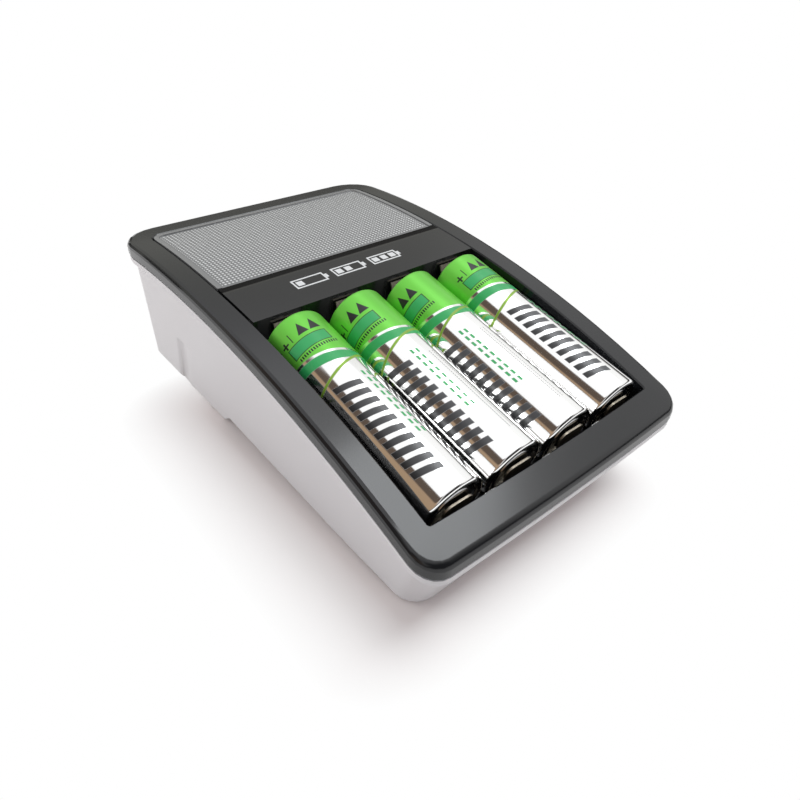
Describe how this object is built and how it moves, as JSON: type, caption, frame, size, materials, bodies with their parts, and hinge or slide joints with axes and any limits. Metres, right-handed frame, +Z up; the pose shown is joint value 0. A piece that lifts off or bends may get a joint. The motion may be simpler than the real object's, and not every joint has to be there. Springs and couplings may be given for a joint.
{
  "type": "aa battery charger",
  "caption": "Desktop and wall battery charger with a crowned black cover, grey dotted panel, light drafted housing, round cells lying in an open bay and fold-out mains prongs.",
  "frame": {"origin": "on the table, midway along and across the cover", "axes": "+X to the right seen from the low front edge, +Y along the cells towards the tall rear end, +Z up"},
  "size_m": [0.0738, 0.1156, 0.0356],
  "materials": {
    "housing_plastic": "satin",
    "cover_gloss": "semi-gloss",
    "panel_print": "satin, fine dot grid",
    "tray_plastic": "satin",
    "cell_sleeve": "glossy printed sleeve, part metallic",
    "contact_nickel": "nickel-plated sheet",
    "contact_brass": "plain",
    "prong_nickel": "nickel-plated",
    "carrier_plastic": "fine texture",
    "board_laminate": "solder mask",
    "transformer_core": "ferrite and tape",
    "capacitor_sleeve": "shrink sleeve",
    "chip_epoxy": "moulded",
    "lamp_epoxy": "diffused",
    "guide_acrylic": "clear",
    "screw_steel": "zinc-plated"
  },
  "bodies": {
    "charger": {"lower_housing": "housing_plastic", "top_bezel": "cover_gloss", "display_panel": "panel_print", "battery_tray": "tray_plastic", "cell_1": "cell_sleeve", "cell_2": "cell_sleeve", "cell_3": "cell_sleeve", "cell_4": "cell_sleeve", "positive_contact_1": "contact_nickel", "positive_contact_2": "contact_nickel", "positive_contact_3": "contact_nickel", "positive_contact_4": "contact_nickel", "circuit_board": "board_laminate", "transformer": "transformer_core", "input_capacitor": "capacitor_sleeve", "output_capacitor": "capacitor_sleeve", "controller_chip": "chip_epoxy", "indicator_led": "lamp_epoxy", "light_guide": "guide_acrylic", "mains_contact_left": "contact_brass", "mains_contact_right": "contact_brass", "front_screw_left": "screw_steel", "front_screw_right": "screw_steel", "rear_screw_left": "screw_steel", "rear_screw_right": "screw_steel", "board_screw_left": "screw_steel", "board_screw_right": "screw_steel"},
    "contact_1": {"negative_contact_1": "contact_nickel"},
    "contact_2": {"negative_contact_2": "contact_nickel"},
    "contact_3": {"negative_contact_3": "contact_nickel"},
    "contact_4": {"negative_contact_4": "contact_nickel"},
    "prongs": {"prong_carrier": "carrier_plastic", "prong_left": "prong_nickel", "prong_right": "prong_nickel"}
  },
  "joints": [
    {"name": "contact_1_flex", "type": "hinge", "parent": "charger", "child": "contact_1", "pos_m": [-0.0232, -0.04411, 0.00949], "axis": [1, 0, 0], "range_deg": [0, 2], "stiffness_Nm_per_rad": 0.1},
    {"name": "contact_2_flex", "type": "hinge", "parent": "charger", "child": "contact_2", "pos_m": [-0.00773, -0.04411, 0.00949], "axis": [1, 0, 0], "range_deg": [0, 2], "stiffness_Nm_per_rad": 0.1},
    {"name": "contact_3_flex", "type": "hinge", "parent": "charger", "child": "contact_3", "pos_m": [0.00773, -0.04411, 0.00949], "axis": [1, 0, 0], "range_deg": [0, 2], "stiffness_Nm_per_rad": 0.1},
    {"name": "contact_4_flex", "type": "hinge", "parent": "charger", "child": "contact_4", "pos_m": [0.0232, -0.04411, 0.00949], "axis": [1, 0, 0], "range_deg": [0, 2], "stiffness_Nm_per_rad": 0.1},
    {"name": "prong_fold", "type": "hinge", "parent": "charger", "child": "prongs", "pos_m": [0, 0.02652, 0.0045], "axis": [-1, 0, 0], "range_deg": [0, 90]}
  ]
}
